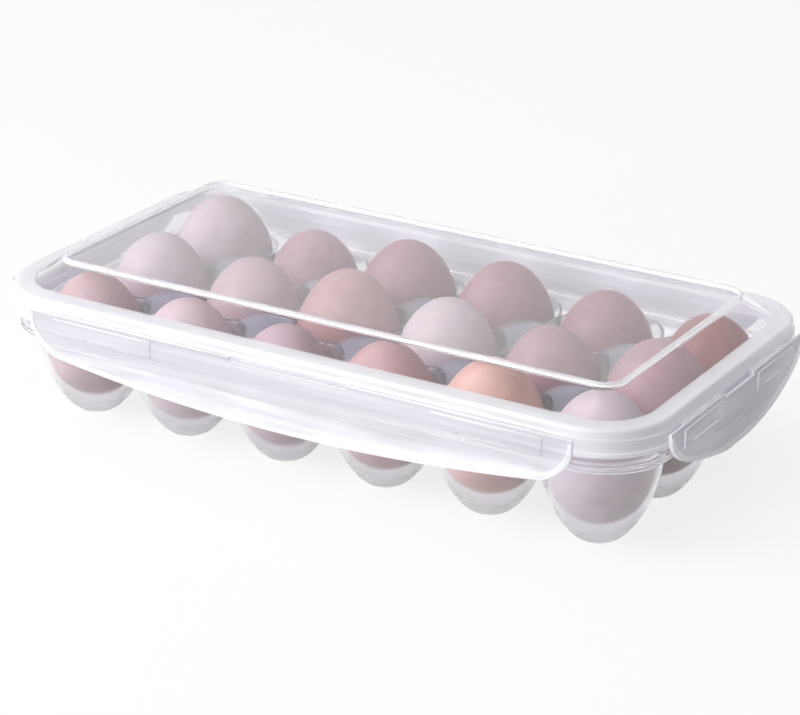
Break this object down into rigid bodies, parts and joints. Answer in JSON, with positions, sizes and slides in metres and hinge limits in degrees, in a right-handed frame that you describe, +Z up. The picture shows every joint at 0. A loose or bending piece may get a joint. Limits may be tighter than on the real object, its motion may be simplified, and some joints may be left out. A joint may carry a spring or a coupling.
{
  "type": "egg storage box",
  "caption": "Clear rectangular egg box: a tray of egg cups, a domed lid with a stacking ridge, and a hinged latch flap on each side, shown filled with eggs.",
  "frame": {"origin": "on the surface that the cup feet stand on, under the centre of the box", "axes": "+X along the long side to the right, +Y from the front latch to the back latch, +Z up through the lid"},
  "size_m": [0.3272, 0.1788, 0.0722],
  "materials": {
    "clear_tray": "clear thin-walled moulding, smooth and glossy",
    "clear_lid": "clear thin-walled moulding, smooth and glossy",
    "clear_latch": "slightly milky clear moulding, glossy",
    "shell_salmon": "matt egg shell with fine pores",
    "shell_mauve": "matt egg shell with fine pores",
    "shell_peach": "matt egg shell with fine pores",
    "shell_pale": "matt egg shell with fine pores",
    "shell_lilac": "matt egg shell with fine pores",
    "shell_rose": "matt egg shell with fine pores"
  },
  "bodies": {
    "tray": {"tray": "clear_tray", "egg_row1_column1": "shell_salmon", "egg_row1_column2": "shell_mauve", "egg_row1_column3": "shell_mauve", "egg_row1_column4": "shell_salmon", "egg_row1_column5": "shell_peach", "egg_row1_column6": "shell_pale", "egg_row2_column1": "shell_lilac", "egg_row2_column2": "shell_mauve", "egg_row2_column3": "shell_salmon", "egg_row2_column4": "shell_pale", "egg_row2_column5": "shell_mauve", "egg_row2_column6": "shell_salmon", "egg_row3_column1": "shell_lilac", "egg_row3_column2": "shell_mauve", "egg_row3_column3": "shell_rose", "egg_row3_column4": "shell_rose", "egg_row3_column5": "shell_rose", "egg_row3_column6": "shell_salmon"},
    "lid": {"lid": "clear_lid"},
    "latch_front": {"latch_front": "clear_latch"},
    "latch_back": {"latch_back": "clear_latch"},
    "latch_left": {"latch_left": "clear_latch"},
    "latch_right": {"latch_right": "clear_latch"}
  },
  "joints": [
    {"name": "lid_lift", "type": "slide", "parent": "tray", "child": "lid", "axis": [0, 0, 1], "range_m": [0, 0.12]},
    {"name": "latch_front_swing", "type": "hinge", "parent": "lid", "child": "latch_front", "pos_m": [0, -0.0865, 0.0569], "axis": [-1, 0, 0], "range_deg": [0, 135]},
    {"name": "latch_back_swing", "type": "hinge", "parent": "lid", "child": "latch_back", "pos_m": [0, 0.0865, 0.0569], "axis": [1, 0, 0], "range_deg": [0, 135]},
    {"name": "latch_left_swing", "type": "hinge", "parent": "lid", "child": "latch_left", "pos_m": [-0.1607, 0, 0.0569], "axis": [0, 1, 0], "range_deg": [0, 135]},
    {"name": "latch_right_swing", "type": "hinge", "parent": "lid", "child": "latch_right", "pos_m": [0.1607, 0, 0.0569], "axis": [0, -1, 0], "range_deg": [0, 135]}
  ]
}
